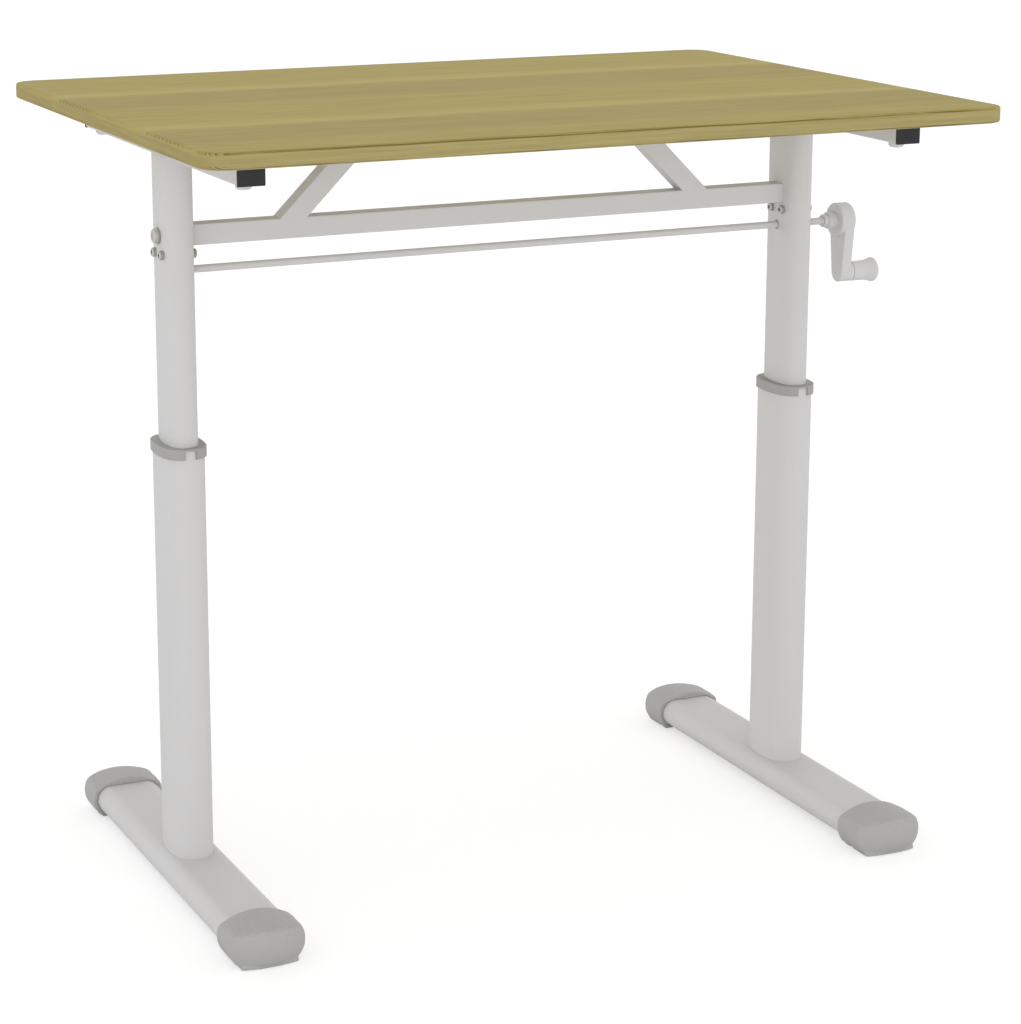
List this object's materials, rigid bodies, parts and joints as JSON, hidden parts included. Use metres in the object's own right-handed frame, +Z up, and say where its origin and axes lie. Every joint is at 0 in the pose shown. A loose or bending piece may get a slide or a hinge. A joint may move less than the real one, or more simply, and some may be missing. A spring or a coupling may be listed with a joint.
{
  "type": "height-adjustable desk",
  "caption": "Desk with a wooden top on telescopic oval columns and long feet; a hand crank turns a cross shaft and lead screws that raise and lower the top.",
  "frame": {"origin": "on the floor under the middle of the tabletop", "axes": "+X along the tabletop to the sitter's right, where the crank is; +Y away from the sitter; +Z up"},
  "size_m": [0.839, 0.6, 0.759],
  "materials": {
    "board_wood": "satin",
    "light_paint": "powder coat",
    "grey_plastic": "moulded",
    "light_plastic": "moulded",
    "black_plastic": "moulded",
    "pad_rubber": "matt",
    "zinc_steel": "zinc plated",
    "housing_alloy": "cast",
    "bush_bronze": "machined"
  },
  "bodies": {
    "base": {"left_foot_bar": "light_paint", "right_foot_bar": "light_paint", "left_front_shoe": "grey_plastic", "left_rear_shoe": "grey_plastic", "right_front_shoe": "grey_plastic", "right_rear_shoe": "grey_plastic", "left_floor_pads": "pad_rubber", "right_floor_pads": "pad_rubber", "left_lower_column": "light_paint", "right_lower_column": "light_paint", "left_guide_collar": "grey_plastic", "right_guide_collar": "grey_plastic", "left_base_plate": "zinc_steel", "right_base_plate": "zinc_steel", "left_foot_bolts": "zinc_steel", "right_foot_bolts": "zinc_steel", "left_nut_post": "zinc_steel", "right_nut_post": "zinc_steel", "left_screw_nut": "bush_bronze", "right_screw_nut": "bush_bronze"},
    "lift_frame": {"tabletop": "board_wood", "left_side_rail": "light_paint", "right_side_rail": "light_paint", "left_front_rail_plug": "black_plastic", "left_rear_rail_plug": "black_plastic", "right_front_rail_plug": "black_plastic", "right_rear_rail_plug": "black_plastic", "rail_screws": "light_paint", "cross_beam": "light_paint", "beam_inserts": "zinc_steel", "beam_bolts": "zinc_steel", "left_upper_column": "light_paint", "right_upper_column": "light_paint", "left_head_plate": "light_paint", "right_head_plate": "light_paint", "head_plate_screws": "zinc_steel", "left_column_glide": "grey_plastic", "right_column_glide": "grey_plastic", "left_brace": "light_paint", "right_brace": "light_paint", "left_brace_plate": "light_paint", "right_brace_plate": "light_paint", "brace_screws": "zinc_steel", "left_gearbox_housing": "housing_alloy", "right_gearbox_housing": "housing_alloy", "gearbox_screws": "zinc_steel", "shaft_bushes": "bush_bronze", "screw_bushes": "bush_bronze"},
    "drive": {"drive_shaft": "zinc_steel", "left_pinion": "zinc_steel", "right_pinion": "zinc_steel", "crank_arm": "light_plastic", "crank_grub_screw": "zinc_steel", "crank_pin": "zinc_steel"},
    "knob": {"crank_knob": "light_plastic"},
    "left_screw": {"left_lead_screw": "zinc_steel", "left_screw_gear": "zinc_steel"},
    "right_screw": {"right_lead_screw": "zinc_steel", "right_screw_gear": "zinc_steel"}
  },
  "joints": [
    {"name": "lift", "type": "slide", "parent": "base", "child": "lift_frame", "axis": [0, 0, 1], "range_m": [-0.15, 0.12]},
    {"name": "crank_turn", "type": "hinge", "parent": "lift_frame", "child": "drive", "pos_m": [0.3711, -0.0122, 0.61], "axis": [1, 0, 0], "range_deg": [-8640, 10800]},
    {"name": "left_screw_turn", "type": "hinge", "parent": "lift_frame", "child": "left_screw", "pos_m": [-0.3342, -0.0122, 0.61], "axis": [0, 0, 1], "range_deg": [-10800, 8640]},
    {"name": "right_screw_turn", "type": "hinge", "parent": "lift_frame", "child": "right_screw", "pos_m": [0.3342, -0.0122, 0.61], "axis": [0, 0, 1], "range_deg": [-10800, 8640]},
    {"name": "knob_spin", "type": "hinge", "parent": "drive", "child": "knob", "pos_m": [0.4098, -0.0122, 0.5545], "axis": [1, 0, 0], "continuous": true}
  ],
  "couplings": [
    {"joint": "crank_turn", "follows": "lift", "rad_per_m": -1256.6},
    {"joint": "left_screw_turn", "follows": "lift", "rad_per_m": 1256.6},
    {"joint": "right_screw_turn", "follows": "lift", "rad_per_m": 1256.6}
  ]
}
